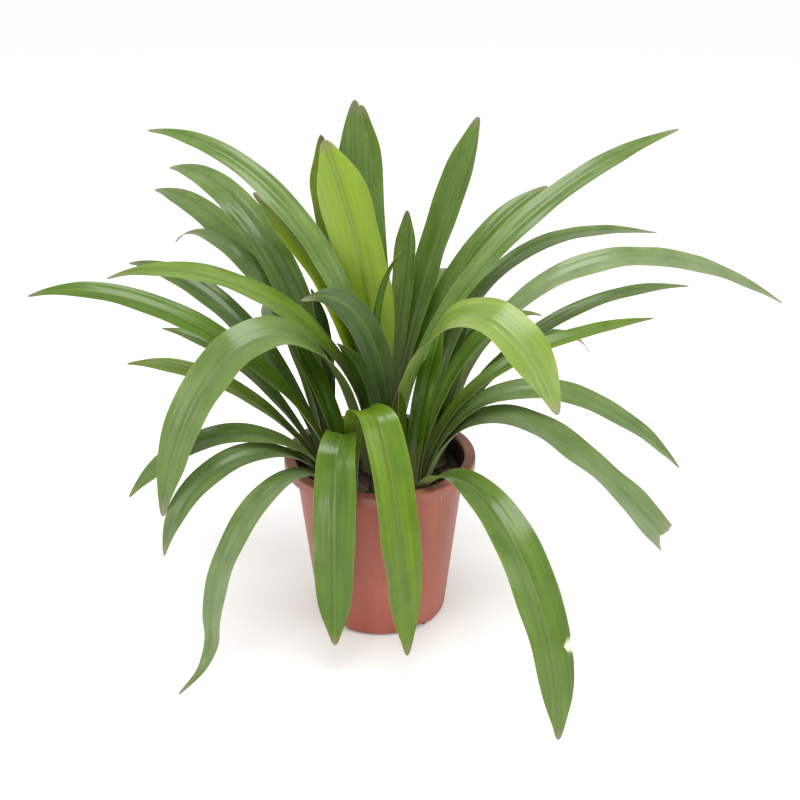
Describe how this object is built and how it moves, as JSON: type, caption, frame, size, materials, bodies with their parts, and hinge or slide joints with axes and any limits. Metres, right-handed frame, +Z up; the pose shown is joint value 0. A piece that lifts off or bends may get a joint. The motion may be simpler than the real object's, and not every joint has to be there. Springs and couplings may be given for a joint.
{
  "type": "potted spider lily",
  "caption": "Strap-leaved bulb plant with arching green leaves growing from several bulbs in a round plastic nursery pot of soil.",
  "frame": {"origin": "middle of the pot's flat base, on the surface that the pot stands on", "axes": "+Z up along the pot's axis, -Y to the plant's front, +X to its right"},
  "size_m": [0.6401, 0.4932, 0.45],
  "materials": {
    "pot_plastic": "satin",
    "potting_soil": "matte",
    "bulb_tunic": "matte",
    "leaf": "satin"
  },
  "bodies": {
    "root": {"pot": "pot_plastic", "soil": "potting_soil", "bulb_centre": "bulb_tunic", "leaf_centre_1": "leaf", "leaf_centre_2": "leaf", "leaf_centre_3": "leaf", "leaf_centre_4": "leaf", "leaf_centre_5": "leaf", "leaf_centre_6": "leaf", "leaf_centre_7": "leaf", "leaf_centre_8": "leaf", "leaf_centre_9": "leaf", "bulb_back": "bulb_tunic", "leaf_back_1": "leaf", "leaf_back_2": "leaf", "leaf_back_3": "leaf", "leaf_back_4": "leaf", "leaf_back_5": "leaf", "leaf_back_6": "leaf", "leaf_back_7": "leaf", "leaf_back_8": "leaf", "leaf_back_9": "leaf", "bulb_left_back": "bulb_tunic", "leaf_left_back_1": "leaf", "leaf_left_back_2": "leaf", "leaf_left_back_3": "leaf", "leaf_left_back_4": "leaf", "leaf_left_back_5": "leaf", "leaf_left_back_6": "leaf", "leaf_left_back_7": "leaf", "leaf_left_back_8": "leaf", "bulb_left_front": "bulb_tunic", "leaf_left_front_1": "leaf", "leaf_left_front_2": "leaf", "leaf_left_front_3": "leaf", "leaf_left_front_4": "leaf", "leaf_left_front_5": "leaf", "leaf_left_front_6": "leaf", "leaf_left_front_7": "leaf", "leaf_left_front_8": "leaf", "bulb_right_front": "bulb_tunic", "leaf_right_front_1": "leaf", "leaf_right_front_2": "leaf", "leaf_right_front_3": "leaf", "leaf_right_front_4": "leaf", "leaf_right_front_5": "leaf", "leaf_right_front_6": "leaf", "leaf_right_front_7": "leaf", "bulb_right_back": "bulb_tunic", "leaf_right_back_1": "leaf", "leaf_right_back_2": "leaf", "leaf_right_back_3": "leaf", "leaf_right_back_4": "leaf", "leaf_right_back_5": "leaf", "leaf_right_back_6": "leaf", "leaf_right_back_7": "leaf"}
  },
  "joints": []
}
